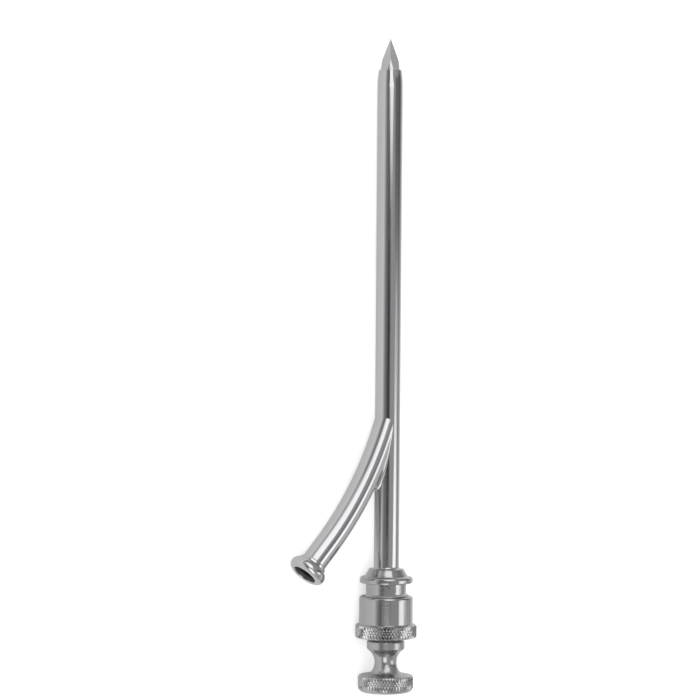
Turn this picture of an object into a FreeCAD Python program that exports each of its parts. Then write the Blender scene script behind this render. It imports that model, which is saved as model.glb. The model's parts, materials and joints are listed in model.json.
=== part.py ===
# Trocar with a curved side arm, a packing gland and a three-sided stylet, in millimetres.
#
# Every piece is drawn in the instrument's own frame: +Z runs along the cannula towards the point,
# Z = 0 is the rear face of the hub's flange, and the side arm curves out on the +X side and back
# towards the knob. The last step lays the instrument down as it lies on a table: on the cannula's
# shoulder, the nut's rim and the bead of the side arm, with +Z up and the point towards -X.
import FreeCAD, Part
import math
import os

from FreeCAD import Vector

# Cannula: the long outer tube, swaged to a close fit at its mouth
tube_outer_diameter = 8.0
tube_bore_diameter = 6.6
mouth_height = 162.2
mouth_outer_diameter = 7.3
mouth_taper_length = 5.7
mouth_lip_radius = 0.35
mouth_guide_length = 4.0
mouth_bore_step = 0.8

# Stylet: the rod, its three-sided point and the threaded tail that holds the knob. The facets are
# cut a little past the place where they run out on the rod's side
rod_diameter = 6.0
point_projection = 10.0
point_facet_angle = 12.4
point_facet_count = 3
point_ridge_angle = 56.0
point_overrun = 0.15
tail_diameter = 4.0
tail_length = 10.5
tail_seat_depth = 2.0

# Side arm: a tube that leaves the cannula at a shallow angle and bends away from it
arm_outer_diameter = 7.9
arm_bore_diameter = 6.4
arm_branch_height = 52.0
arm_branch_angle = 18.0
arm_end_angle = 42.3
arm_bend_radius = 108.5
arm_straight_length = 11.7
saddle_fillet_radius = 1.0

# Hose bead: the olive brazed on the arm's end, which a hose is pushed over
bead_diameter = 12.1
bead_crest_setback = 1.6
bead_rear_radius = 2.4
bead_ring_wall = 0.55
bead_ring_length = 0.7
bead_mouth_diameter = 7.7
bead_mouth_edge = 0.2
bead_mouth_depth = 1.3
bead_fillet_leg = 0.5

# Hub: collar, flange, neck and threaded stuffing box, turned from one bar
collar_height = 4.5
collar_top_diameter = 11.4
collar_base_diameter = 13.1
collar_edge_radius = 0.4
flange_diameter = 16.8
flange_thickness = 2.1
flange_front_radius = 0.8
flange_rear_radius = 0.5
flange_root_radius = 0.5
neck_diameter = 12.7
neck_length = 2.6
hub_socket_depth = 1.2
hub_web = 1.5
hub_fillet_leg = 0.6

# Gland thread and stuffing box
thread_diameter = 13.8
thread_depth = 0.6
thread_length = 8.9
thread_end_chamfer = 0.5
exposed_thread_length = 1.5
box_diameter = 10.0
box_chamfer = 0.3

# Packing and gland follower
seat_washer_thickness = 0.8
packing_ring_thickness = 1.5
packing_ring_count = 3
follower_gap = 0.5
follower_flange_thickness = 1.2
follower_flange_diameter = 12.2
follower_edge = 0.2

# Gland nut: smooth barrel, knurled rim and a low boss round the stylet's hole
nut_barrel_diameter = 17.0
nut_barrel_edge_radius = 0.7
nut_bore_chamfer = 0.4
nut_end_wall = 3.95
nut_rim_diameter = 19.6
nut_rim_width = 4.2
nut_rim_bevel = 0.5
nut_rim_root_radius = 0.3
nut_boss_diameter = 11.4
nut_boss_height = 0.7
nut_boss_edge = 0.2

# Knob: collar, hollow waist and knurled wheel. The collar's bevel has a steep and a flat part, and
# the share is the steep one's part of its length
knob_collar_diameter = 12.0
knob_collar_length = 2.4
knob_collar_edge_radius = 0.4
knob_collar_bevel_length = 0.95
knob_collar_bevel_share = 0.6
knob_waist_diameter = 7.0
knob_waist_length = 6.9
knob_waist_curve_radius = 4.83
knob_wheel_diameter = 17.6
knob_wheel_width = 5.4
knob_wheel_face_slope = 0.27
knob_wheel_front_radius = 0.8
knob_wheel_rear_radius = 1.8

# Clearances between pieces
slip_clearance = 0.05
guide_clearance = 0.06
thread_clearance = 0.06
knob_stop_gap = 0.3

# Distance below which two surfaces of the saddle joint count as the same surface
seam_tolerance = 0.001

# Radii worked out from the sizes above
tube_radius = tube_outer_diameter / 2
tube_bore_radius = tube_bore_diameter / 2
mouth_radius = mouth_outer_diameter / 2
rod_radius = rod_diameter / 2
rod_hole_radius = rod_radius + guide_clearance
tail_radius = tail_diameter / 2
arm_radius = arm_outer_diameter / 2
arm_bore_radius = arm_bore_diameter / 2
bead_radius = bead_diameter / 2
box_radius = box_diameter / 2
thread_core_radius = thread_diameter / 2 - thread_depth
nut_bore_radius = thread_diameter / 2 + thread_clearance
neck_radius = neck_diameter / 2
rim_radius = nut_rim_diameter / 2
wheel_radius = knob_wheel_diameter / 2

# Stations along the instrument's axis
tube_rear = -hub_socket_depth
taper_start = mouth_height - mouth_taper_length
point_tip = mouth_height + point_projection
box_floor = tube_rear - hub_web
hub_rear = -neck_length - thread_length
packing_front = box_floor - seat_washer_thickness
nut_front = -neck_length - exposed_thread_length
follower_flange_front = hub_rear - follower_gap
follower_rear = follower_flange_front - follower_flange_thickness
nut_seat = follower_rear - slip_clearance
rim_rear = nut_seat - nut_end_wall
rim_front = rim_rear + nut_rim_width
boss_rear = rim_rear - nut_boss_height
knob_front = boss_rear - knob_stop_gap
collar_rear = knob_front - knob_collar_length
waist_front = collar_rear - knob_collar_bevel_length
waist_rear = waist_front - knob_waist_length
tail_seat = knob_front - tail_seat_depth
tail_end = tail_seat - tail_length


def section_point(place):
    """Point of a lathe outline: distance from the axis and height along it."""
    return Vector(place[0], 0, place[1])


def arc_middle(centre, start, end):
    """Point half-way along the short arc from start to end round the centre."""
    radius = math.hypot(start[0] - centre[0], start[1] - centre[1])
    across = (start[0] + end[0]) / 2 - centre[0]
    along = (start[1] + end[1]) / 2 - centre[1]
    reach = math.hypot(across, along)
    return (centre[0] + radius * across / reach, centre[1] + radius * along / reach)


def turned(outline):
    """Lathe-turned solid. An item is the next corner, or an arc's centre and its end."""
    edges = []
    here = outline[0]
    for item in outline[1:] + outline[:1]:
        if isinstance(item[0], tuple):
            centre, end = item
            middle = arc_middle(centre, here, end)
            arc = Part.Arc(section_point(here), section_point(middle), section_point(end))
            edges.append(arc.toShape())
        else:
            end = item
            edges.append(Part.makeLine(section_point(here), section_point(end)))
        here = end
    face = Part.Face(Part.Wire(edges))
    return face.revolve(Vector(0, 0, 0), Vector(0, 0, 1), 360)


def ring(inner_radius, outer_radius, rear, front):
    """Plain washer or packing ring between two stations."""
    return turned([(inner_radius, rear), (outer_radius, rear), (outer_radius, front), (inner_radius, front)])


def corner_fillet(radius, shoulder, leg, side):
    """Braze metal in the corner between a round tube and a flat shoulder, on the side given by its sign."""
    outer = radius + leg
    height = shoulder + side * leg
    return turned([(radius, shoulder), (outer, shoulder), ((outer, height), (radius, height))])


# Path of the side arm
branch_point = Vector(0, 0, arm_branch_height)
arm_rise_start = math.radians(arm_branch_angle)
arm_rise_end = math.radians(arm_end_angle)
branch_direction = Vector(math.sin(arm_rise_start), 0, -math.cos(arm_rise_start))
arm_end_direction = Vector(math.sin(arm_rise_end), 0, -math.cos(arm_rise_end))
bend_centre = branch_point + Vector(math.cos(arm_rise_start), 0, math.sin(arm_rise_start)) * arm_bend_radius
bend_end = bend_centre - Vector(math.cos(arm_rise_end), 0, math.sin(arm_rise_end)) * arm_bend_radius
bead_face_centre = bend_end + arm_end_direction * arm_straight_length


def arm_solid(radius, straight_length):
    """The arm as a solid bar: the bend that starts on the cannula's axis, and the straight end."""
    disc = Part.Face(Part.Wire(Part.makeCircle(radius, branch_point, branch_direction)))
    bend = disc.revolve(bend_centre, Vector(0, 1, 0), arm_branch_angle - arm_end_angle)
    straight = Part.makeCylinder(radius, straight_length, bend_end, arm_end_direction)
    return bend.fuse(straight).removeSplitter()


def arm_bore():
    """Bore of the side arm, from inside the cannula to past the mouth of the bead."""
    return arm_solid(arm_bore_radius, arm_straight_length + bead_mouth_depth)


def on_arm_end(shape):
    """Turn a piece drawn along Z so that it points along the arm's end, with Z = 0 at the bead's face."""
    turn = FreeCAD.Rotation(Vector(0, 0, 1), arm_end_direction)
    placed = shape.copy()
    placed.Placement = FreeCAD.Placement(bead_face_centre, turn)
    return placed


def make_cannula_tube():
    """Outer tube with its swaged mouth and the oval port that opens into the side arm."""
    shoulder = mouth_height - mouth_lip_radius
    drop = tube_radius - mouth_radius
    run = shoulder - taper_start
    swage_radius = (run * run + drop * drop) / (2 * drop)
    lip_centre = (mouth_radius - mouth_lip_radius, shoulder)
    guide_rear = mouth_height - mouth_guide_length
    tube = turned([
        (tube_bore_radius, tube_rear),
        (tube_radius, tube_rear),
        (tube_radius, taper_start),
        ((tube_radius - swage_radius, taper_start), (mouth_radius, shoulder)),
        (lip_centre, (mouth_radius - mouth_lip_radius, mouth_height)),
        (rod_hole_radius, mouth_height),
        (rod_hole_radius, guide_rear),
        (tube_bore_radius, guide_rear - mouth_bore_step),
    ])
    return tube.cut(arm_bore())


def cannula_bar():
    """The cannula's outside as a solid bar over the stretch that carries the side arm."""
    return Part.makeCylinder(tube_radius, mouth_height - tube_rear, Vector(0, 0, tube_rear))


def make_side_arm():
    """Bent suction tube, mitred to a saddle that sits on the cannula's outside."""
    tube = arm_solid(arm_radius, arm_straight_length - bead_mouth_depth)
    return tube.cut(cannula_bar()).cut(arm_bore())


def make_saddle_braze():
    """Braze metal that rounds the corner all along the saddle joint."""
    joined = cannula_bar().fuse(arm_solid(arm_radius, arm_straight_length))
    seam = []
    for edge in joined.Edges:
        straight_or_round = isinstance(edge.Curve, (Part.Line, Part.Circle))
        middle = edge.valueAt((edge.FirstParameter + edge.LastParameter) / 2)
        on_cannula = abs(math.hypot(middle.x, middle.y) - tube_radius) < seam_tolerance
        if on_cannula and not straight_or_round:
            seam.append(edge)
    return joined.makeFillet(saddle_fillet_radius, seam).cut([joined], seam_tolerance)


# Outline of the bead behind its crest, in the frame of the arm's end
bead_crest = -bead_crest_setback
bead_rear_centre = (bead_radius - bead_rear_radius, bead_crest)
bead_ring_radius = arm_radius + bead_ring_wall
bead_ring_drop = bead_ring_radius - bead_rear_centre[0]
bead_ring_front = bead_crest - math.sqrt(bead_rear_radius ** 2 - bead_ring_drop ** 2)
bead_ring_rear = bead_ring_front - bead_ring_length


def make_hose_bead():
    """Olive with a rounded mouth, bored to take the end of the side arm against a shoulder."""
    front_centre = (bead_radius - bead_crest_setback, bead_crest)
    mouth_edge_radius = bead_mouth_diameter / 2
    bead = turned([
        (arm_radius, bead_ring_rear),
        (bead_ring_radius, bead_ring_rear),
        (bead_ring_radius, bead_ring_front),
        (bead_rear_centre, (bead_radius, bead_crest)),
        (front_centre, (bead_radius - bead_crest_setback, 0)),
        (mouth_edge_radius + bead_mouth_edge, 0),
        ((mouth_edge_radius + bead_mouth_edge, -bead_mouth_edge), (mouth_edge_radius, -bead_mouth_edge)),
        (arm_bore_radius, -bead_mouth_depth),
        (arm_radius, -bead_mouth_depth),
    ])
    return on_arm_end(bead)


def make_bead_braze():
    """Braze metal between the side arm and the bead's rear ring."""
    return on_arm_end(corner_fillet(arm_radius, bead_ring_rear, bead_fillet_leg, -1))


def make_hub():
    """Turned hub: collar and flange in front, threaded stuffing box behind."""
    collar_radius = collar_top_diameter / 2
    collar_base_radius = collar_base_diameter / 2
    flange_radius = flange_diameter / 2
    thread_start = -neck_length
    collar_edge = (collar_radius - collar_edge_radius, collar_height - collar_edge_radius)
    root_centre = (collar_base_radius + flange_root_radius, flange_thickness + flange_root_radius)
    front_edge = (flange_radius - flange_front_radius, flange_thickness - flange_front_radius)
    rear_edge = (flange_radius - flange_rear_radius, flange_rear_radius)
    return turned([
        (tube_radius, collar_height),
        (collar_edge[0], collar_height),
        (collar_edge, (collar_radius, collar_edge[1])),
        (collar_base_radius, root_centre[1]),
        (root_centre, (root_centre[0], flange_thickness)),
        (front_edge[0], flange_thickness),
        (front_edge, (flange_radius, front_edge[1])),
        (flange_radius, flange_rear_radius),
        (rear_edge, (rear_edge[0], 0)),
        (neck_radius, 0),
        (neck_radius, thread_start),
        (thread_core_radius, thread_start),
        (thread_core_radius, hub_rear + thread_end_chamfer),
        (thread_core_radius - thread_end_chamfer, hub_rear),
        (box_radius + box_chamfer, hub_rear),
        (box_radius, hub_rear + box_chamfer),
        (box_radius, box_floor),
        (tube_bore_radius, box_floor),
        (tube_bore_radius, tube_rear),
        (tube_radius, tube_rear),
    ])


def make_packing():
    """Seat washer and packing rings, stacked from the floor of the stuffing box."""
    pieces = {"seat_washer": ring(rod_hole_radius, box_radius - slip_clearance, packing_front, box_floor)}
    front = packing_front
    for number in range(1, packing_ring_count + 1):
        last = number == packing_ring_count
        outer = box_radius - slip_clearance if last else box_radius
        front = front - slip_clearance if last else front
        rear = front - packing_ring_thickness
        pieces[f"packing_ring_{number}"] = ring(rod_radius + slip_clearance, outer, rear, front)
        front = rear
    return pieces, front


def make_gland_follower(packing_rear):
    """Gland follower: a nose that presses the packing and a flange that the nut pushes on."""
    nose_radius = box_radius - slip_clearance
    nose_front = packing_rear - slip_clearance
    flange_radius = follower_flange_diameter / 2
    return turned([
        (rod_hole_radius, follower_rear),
        (flange_radius - follower_edge, follower_rear),
        (flange_radius, follower_rear + follower_edge),
        (flange_radius, follower_flange_front),
        (nose_radius, follower_flange_front),
        (nose_radius, nose_front - follower_edge),
        (nose_radius - follower_edge, nose_front),
        (rod_hole_radius, nose_front),
    ])


def make_gland_nut():
    """Gland nut: smooth barrel over the thread, rim for the fingers, end wall with the stylet's hole."""
    barrel_radius = nut_barrel_diameter / 2
    boss_radius = nut_boss_diameter / 2
    barrel_edge = (barrel_radius - nut_barrel_edge_radius, nut_front - nut_barrel_edge_radius)
    root_centre = (barrel_radius + nut_rim_root_radius, rim_front + nut_rim_root_radius)
    return turned([
        (nut_bore_radius, nut_seat),
        (nut_bore_radius, nut_front - nut_bore_chamfer),
        (nut_bore_radius + nut_bore_chamfer, nut_front),
        (barrel_edge[0], nut_front),
        (barrel_edge, (barrel_radius, barrel_edge[1])),
        (barrel_radius, root_centre[1]),
        (root_centre, (root_centre[0], rim_front)),
        (rim_radius - nut_rim_bevel, rim_front),
        (rim_radius, rim_front - nut_rim_bevel),
        (rim_radius, rim_rear + nut_rim_bevel),
        (rim_radius - nut_rim_bevel, rim_rear),
        (boss_radius, rim_rear),
        (boss_radius, boss_rear + nut_boss_edge),
        (boss_radius - nut_boss_edge, boss_rear),
        (rod_hole_radius, boss_rear),
        (rod_hole_radius, nut_seat),
    ])


def make_stylet_rod():
    """Stylet ground to a three-sided point, with a thinner tail that screws into the knob."""
    facet_slope = math.tan(math.radians(point_facet_angle))
    point_length = rod_radius / facet_slope + point_overrun
    point_base = point_tip - point_length
    rod = turned([
        (0, tail_end),
        (tail_radius, tail_end),
        (tail_radius, tail_seat),
        (rod_radius, tail_seat),
        (rod_radius, point_base),
        (0, point_base),
    ])
    ridge_reach = point_length * facet_slope / math.cos(math.pi / point_facet_count)
    corners = []
    for number in range(point_facet_count + 1):
        angle = math.radians(point_ridge_angle) + 2 * math.pi * number / point_facet_count
        corners.append(Vector(ridge_reach * math.cos(angle), ridge_reach * math.sin(angle), point_base))
    pyramid_faces = [Part.Face(Part.makePolygon(corners))]
    tip = Vector(0, 0, point_tip)
    for first, second in zip(corners, corners[1:]):
        pyramid_faces.append(Part.Face(Part.makePolygon([first, second, tip, first])))
    pyramid = Part.Solid(Part.Shell(pyramid_faces))
    point = Part.makeCylinder(rod_radius, point_length, Vector(0, 0, point_base)).common(pyramid)
    return rod.fuse(point).removeSplitter()


# Knob's wheel and its overall end
wheel_face_drop = knob_wheel_face_slope * (wheel_radius - knob_wheel_front_radius - knob_collar_diameter / 2)
knob_rear = waist_rear - wheel_face_drop - knob_wheel_width


def make_stylet_knob():
    """Knob: collar that stops on the gland nut, hollow waist for two fingers and a wheel for the palm."""
    collar_radius = knob_collar_diameter / 2
    waist_centre = (knob_waist_diameter / 2 + knob_waist_curve_radius, (waist_front + waist_rear) / 2)
    half_waist = knob_waist_length / 2
    waist_end_radius = waist_centre[0] - math.sqrt(knob_waist_curve_radius ** 2 - half_waist ** 2)
    bevel_radius = (collar_radius + waist_end_radius) / 2
    bevel_station = collar_rear - knob_collar_bevel_length * knob_collar_bevel_share
    collar_edge = (collar_radius - knob_collar_edge_radius, knob_front - knob_collar_edge_radius)
    face_end = waist_rear - wheel_face_drop
    front_edge = (wheel_radius - knob_wheel_front_radius, face_end - knob_wheel_front_radius)
    rear_edge = (wheel_radius - knob_wheel_rear_radius, knob_rear + knob_wheel_rear_radius)
    return turned([
        (rod_radius, knob_front),
        (collar_edge[0], knob_front),
        (collar_edge, (collar_radius, collar_edge[1])),
        (collar_radius, collar_rear),
        (bevel_radius, bevel_station),
        (waist_end_radius, waist_front),
        (waist_centre, (waist_end_radius, waist_rear)),
        (front_edge[0], face_end),
        (front_edge, (wheel_radius, front_edge[1])),
        (wheel_radius, rear_edge[1]),
        (rear_edge, (rear_edge[0], knob_rear)),
        (0, knob_rear),
        (0, tail_end),
        (tail_radius, tail_end),
        (tail_radius, tail_seat),
        (rod_radius, tail_seat),
    ])


# Pose on the table. The tilt brings the cannula's shoulder and the rim's front edge to one level
rim_contact = rim_front - nut_rim_bevel
tilt = math.atan((rim_radius - tube_radius) / (taper_start - rim_contact))
axis_height = taper_start * math.sin(tilt) + tube_radius * math.cos(tilt)
bead_crest_centre = bead_face_centre - arm_end_direction * bead_crest_setback


def up_direction(roll):
    """World's up in the instrument's frame, once the side arm has rolled down by this angle."""
    level = math.cos(tilt)
    return Vector(-level * math.sin(roll), level * math.cos(roll), -math.sin(tilt))


def bead_reach(direction, roll_centre_radius, section_radius):
    """How far the bead's rounded crest reaches along a direction, in the instrument's frame."""
    along = direction.dot(arm_end_direction)
    across = math.sqrt(1 - along * along)
    return direction.dot(bead_crest_centre) + roll_centre_radius * across + section_radius


def bead_clearance(roll):
    """Height of the bead's lowest point over the table."""
    section_radius = bead_rear_radius
    if up_direction(roll).dot(arm_end_direction) < 0:
        section_radius = bead_crest_setback
    down = up_direction(roll) * -1
    return axis_height - bead_reach(down, bead_radius - section_radius, section_radius)


def settle_roll():
    """Roll angle at which the bead just touches the table, found by halving an interval."""
    low = 0.0
    high = math.radians(45)
    for _ in range(60):
        middle = (low + high) / 2
        if bead_clearance(middle) > 0:
            low = middle
        else:
            high = middle
    return (low + high) / 2


roll = settle_roll()
world_z = up_direction(roll)
world_y = Vector(-math.cos(roll), -math.sin(roll), 0)
world_x = world_y.cross(world_z)


def side_reach(direction):
    """Reach of the bead along a level direction across the table."""
    section_radius = bead_rear_radius
    if direction.dot(arm_end_direction) > 0:
        section_radius = bead_crest_setback
    return bead_reach(direction, bead_radius - section_radius, section_radius)


# The origin is at the middle of the footprint, on the table
point_reach = world_x.dot(Vector(0, 0, point_tip))
knob_reach = max(
    world_x.dot(Vector(0, 0, knob_rear)) + math.sin(tilt) * (wheel_radius - knob_wheel_rear_radius),
    world_x.dot(Vector(0, 0, knob_rear + knob_wheel_rear_radius)) + math.sin(tilt) * wheel_radius,
)
shift_x = -(point_reach + knob_reach) / 2
shift_y = (side_reach(world_y * -1) - rim_radius) / 2


def table_placement():
    """Rigid move from the instrument's frame to the table."""
    return FreeCAD.Placement(FreeCAD.Matrix(
        world_x.x, world_x.y, world_x.z, shift_x,
        world_y.x, world_y.y, world_y.z, shift_y,
        world_z.x, world_z.y, world_z.z, axis_height,
        0, 0, 0, 1,
    ))


def make_pieces():
    """All pieces by name, still in the instrument's frame."""
    packing, packing_rear = make_packing()
    pieces = {
        "cannula_tube": make_cannula_tube(),
        "side_arm": make_side_arm(),
        "saddle_braze": make_saddle_braze(),
        "hose_bead": make_hose_bead(),
        "bead_braze": make_bead_braze(),
        "hub": make_hub(),
        "hub_braze": corner_fillet(tube_radius, collar_height, hub_fillet_leg, 1),
        "gland_follower": make_gland_follower(packing_rear),
        "gland_nut": make_gland_nut(),
        "stylet_rod": make_stylet_rod(),
        "stylet_knob": make_stylet_knob(),
    }
    pieces.update(packing)
    return pieces


def single_solid(shape):
    """The one solid of a piece, out of whatever wrapper the last operation left round it."""
    solids = shape.Solids
    if len(solids) != 1:
        raise ValueError(f"a piece came out as {len(solids)} solids")
    return solids[0]


os.makedirs("parts", exist_ok=True)
table = table_placement()
for name, shape in make_pieces().items():
    solid = single_solid(shape)
    solid.Placement = table.multiply(solid.Placement)
    solid.exportStep(f"parts/{name}.step")
    box = solid.BoundBox
    print(f"{name}: {solid.Volume:.2f} mm3, valid {solid.isValid()}, height {box.ZMin:.2f} to {box.ZMax:.2f}")
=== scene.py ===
"""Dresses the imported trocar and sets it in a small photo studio.

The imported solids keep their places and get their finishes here. The gland nut and the knob are turned
again with real knurling, and the gland thread is cut round the hub.
"""

import json
import math

import bmesh
import bpy
from bpy.props import FloatProperty, FloatVectorProperty, IntProperty, PointerProperty
from mathutils import Matrix, Vector


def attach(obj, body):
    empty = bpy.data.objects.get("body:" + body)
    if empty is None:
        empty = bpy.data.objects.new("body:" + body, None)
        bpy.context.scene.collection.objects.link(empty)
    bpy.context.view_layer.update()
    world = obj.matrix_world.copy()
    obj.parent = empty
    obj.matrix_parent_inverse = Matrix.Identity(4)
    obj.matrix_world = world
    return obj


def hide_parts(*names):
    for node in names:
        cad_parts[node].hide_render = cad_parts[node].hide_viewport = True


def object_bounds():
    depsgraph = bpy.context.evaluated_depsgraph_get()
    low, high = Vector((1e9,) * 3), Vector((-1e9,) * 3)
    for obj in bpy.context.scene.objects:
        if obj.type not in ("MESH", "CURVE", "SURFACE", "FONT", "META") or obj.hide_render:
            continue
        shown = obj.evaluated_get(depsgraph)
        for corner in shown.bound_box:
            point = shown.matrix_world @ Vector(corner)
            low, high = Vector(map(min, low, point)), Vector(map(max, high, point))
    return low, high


bl_info = {
    "name": "Surgical trocar",
    "version": (1, 0, 0),
    "blender": (4, 5, 0),
    "location": "3D View > Sidebar > Trocar",
    "description": "Finishes, knurling, thread and studio of a trocar with a side arm",
    "category": "Object",
}

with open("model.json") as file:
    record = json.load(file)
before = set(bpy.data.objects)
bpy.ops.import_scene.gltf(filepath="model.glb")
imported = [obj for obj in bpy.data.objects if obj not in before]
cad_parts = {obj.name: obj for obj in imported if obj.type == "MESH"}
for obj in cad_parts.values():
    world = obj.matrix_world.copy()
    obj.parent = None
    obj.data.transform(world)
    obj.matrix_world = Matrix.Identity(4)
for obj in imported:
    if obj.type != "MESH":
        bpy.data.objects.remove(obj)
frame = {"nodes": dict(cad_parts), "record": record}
solid_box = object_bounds()

# The instrument's own axes, from the interfaces in the record: the cannula's axis towards the point,
# and the side that the arm leaves on
mounts = {mount["name"]: mount for mount in frame["record"]["mounts"]}
axis_point = Vector(mounts["cannula_shaft"]["pos_m"])
towards_point = Vector(mounts["cannula_shaft"]["axis"]).normalized()
arm_direction = Vector(mounts["suction_port"]["axis"]).normalized()
towards_arm = (arm_direction - towards_point * arm_direction.dot(towards_point)).normalized()
across_arm = towards_point.cross(towards_arm)
lathe_axes = Matrix((towards_arm, across_arm, towards_point)).transposed().to_4x4()
lathe_frame = Matrix.Translation(axis_point) @ lathe_axes
arm_axes = arm_direction.to_track_quat("Z", "Y").to_matrix().to_4x4()
arm_tip = max(frame["nodes"]["hose_bead"].data.vertices, key=lambda v: v.co.dot(arm_direction)).co
bore_point = Vector(mounts["suction_port"]["pos_m"])
bead_face = bore_point + arm_direction * (arm_tip - bore_point).dot(arm_direction)
bead_frame = Matrix.Translation(bead_face) @ arm_axes

# Painted shade inside the side arm and the bead, darkening the bore as its shade would: within these radii,
# down to this depth
arm_shade_radius = 0.0035
bead_shade_radius = 0.0038
bore_shade_depth = 0.014
bore_inside_roughness = 0.45

# Straights longer than this are held flat by a point this close to each of their ends
flat_length = 0.0004
flat_hold = 0.00005

# Corners sharper than this stay sharp, and points closer than this are one
sharp_corner = math.radians(24)
same_point = 2e-6

# A face is one of the point's ground facets if its normal leans more than this along the lathe's axis
facet_lean = 0.05

# The table lies this far under the instrument, so that the two don't touch
table_gap = 0.00003


def node_ends(node):
    """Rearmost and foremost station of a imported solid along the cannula's axis."""
    stations = [(v.co - axis_point).dot(towards_point) for v in frame["nodes"][node].data.vertices]
    return min(stations), max(stations)


def linear_colour(text):
    """Linear colour of an sRGB hex value."""
    channels = [int(text[place:place + 2], 16) / 255 for place in (1, 3, 5)]
    return [c / 12.92 if c <= 0.04045 else ((c + 0.055) / 1.055) ** 2.4 for c in channels]


def size_value(name, description, millimetres):
    """Length that a user can change, with its default in millimetres."""
    return FloatProperty(
        name=name, description=description, default=millimetres / 1000, min=0, precision=5, unit="LENGTH"
    )


def angle_value(name, description, degrees):
    """Angle that a user can change, with its default in degrees."""
    return FloatProperty(name=name, description=description, default=math.radians(degrees), subtype="ANGLE")


def colour_value(name, description, text):
    """Colour that a user can change, with its default as an sRGB hex value."""
    return FloatVectorProperty(
        name=name, description=description, default=linear_colour(text), min=0, max=1, subtype="COLOR"
    )


def share_value(name, description, share):
    """Plain number that a user can change."""
    return FloatProperty(name=name, description=description, default=share, min=0)


class TrocarNutSizes(bpy.types.PropertyGroup):
    """Sizes of the gland nut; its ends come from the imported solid."""

    barrel_diameter: size_value("Barrel diameter", "Outside of the smooth barrel", 17.0)
    barrel_edge: size_value("Barrel edge", "Radius of the barrel's front edge", 0.7)
    bore_diameter: size_value("Bore diameter", "Inside of the nut at the root of its thread", 13.92)
    bore_chamfer: size_value("Bore chamfer", "Chamfer at the bore's mouth", 0.4)
    rim_diameter: size_value("Rim diameter", "Rim over the crests of the knurling", 19.6)
    rim_width: size_value("Rim width", "Width of the rim along the axis", 4.2)
    rim_bevel: size_value("Rim bevel", "Bevel on both edges of the rim", 0.5)
    rim_root: size_value("Rim root", "Radius in the corner between barrel and rim", 0.3)
    end_wall: size_value("End wall", "Thickness of the wall that presses the follower", 3.95)
    boss_diameter: size_value("Boss diameter", "Low boss round the stylet's hole", 11.4)
    boss_height: size_value("Boss height", "Height of the boss behind the rim", 0.7)
    boss_edge: size_value("Boss edge", "Chamfer on the boss", 0.2)
    hole_diameter: size_value("Hole diameter", "Hole that the stylet slides through", 6.12)
    knurl_teeth: IntProperty(name="Knurl teeth", description="Teeth round the rim", default=60, min=12)
    knurl_rows: IntProperty(name="Knurl rows", description="Half teeth across the rim", default=4, min=2)
    knurl_depth: size_value("Knurl depth", "Depth of the knurling", 0.4)


class TrocarKnobSizes(bpy.types.PropertyGroup):
    """Sizes of the stylet's knob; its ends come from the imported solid."""

    collar_diameter: size_value("Collar diameter", "Collar that stops on the gland nut", 12.0)
    collar_length: size_value("Collar length", "Length of the collar", 2.4)
    collar_edge: size_value("Collar edge", "Radius of the collar's front edge", 0.4)
    bevel_length: size_value("Bevel length", "Bevel between collar and waist", 0.95)
    bevel_share: share_value("Bevel share", "Steep part of the bevel's length", 0.6)
    waist_length: size_value("Waist length", "Length of the hollow waist", 6.9)
    waist_diameter: size_value("Waist diameter", "Thinnest place of the waist", 7.0)
    waist_curve: size_value("Waist curve", "Radius of the waist's hollow", 4.83)
    wheel_diameter: size_value("Wheel diameter", "Wheel over the crests of the knurling", 17.6)
    wheel_face_slope: share_value("Wheel face slope", "Fall of the wheel's front face for its reach", 0.27)
    wheel_front: size_value("Wheel front edge", "Radius of the wheel's front edge", 0.8)
    wheel_rear: size_value("Wheel rear edge", "Radius of the wheel's rear edge", 1.8)
    rod_diameter: size_value("Rod diameter", "Stylet's rod in the collar", 6.0)
    tail_diameter: size_value("Tail diameter", "Stylet's tail in the knob", 4.0)
    tail_seat: size_value("Tail seat", "Depth at which the rod steps down to its tail", 2.0)
    tail_length: size_value("Tail length", "Length of the tail in the knob", 10.5)
    knurl_teeth: IntProperty(name="Knurl teeth", description="Teeth round the wheel", default=56, min=12)
    knurl_rows: IntProperty(name="Knurl rows", description="Half teeth across the wheel", default=4, min=2)
    knurl_depth: size_value("Knurl depth", "Depth of the knurling", 0.28)


class TrocarThreadSizes(bpy.types.PropertyGroup):
    """Sizes of the gland thread on the hub."""

    core_diameter: size_value("Core diameter", "Thread's root on the hub", 12.6)
    crest_diameter: size_value("Crest diameter", "Thread's crest", 13.7)
    pitch: size_value("Pitch", "Travel of the gland nut in one turn", 1.0)
    thread_length: size_value("Thread length", "Threaded length of the hub", 8.9)
    run_out: share_value("Run-out", "Turns over which the ridge rises from the core", 0.3)


class TrocarFinishes(bpy.types.PropertyGroup):
    """Colours and polish of the metals and of the packing."""

    steel: colour_value("Steel", "Polished stainless steel", "#C6C6C8")
    turned: colour_value("Turned steel", "Turned stainless steel", "#B4B4B5")
    knurl: colour_value("Knurled steel", "Rolled stainless steel", "#B6B6B7")
    braze: colour_value("Braze", "Silver braze, a shade warmer than the steel", "#C6C5C4")
    packing: colour_value("Packing", "White fluoropolymer", "#EAE8E2")
    tube_polish: share_value("Tube polish", "Roughness of the tubes", 0.10)
    turned_polish: share_value("Turned polish", "Roughness of the hub and the braze", 0.10)
    knob_polish: share_value("Knob polish", "Roughness of the handled knob", 0.22)
    ground_polish: share_value("Ground polish", "Roughness of the stylet's ground facets", 0.22)
    knurl_polish: share_value("Knurl polish", "Roughness of the nut's knurling", 0.36)
    wheel_polish: share_value("Wheel polish", "Roughness of the knob's worn knurling", 0.72)
    # Painted shade: the colour that the inside of the side arm and the bead is darkened to
    bore_shade: colour_value("Bore stain", "Painted shade inside the side arm", "#585757")


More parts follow.
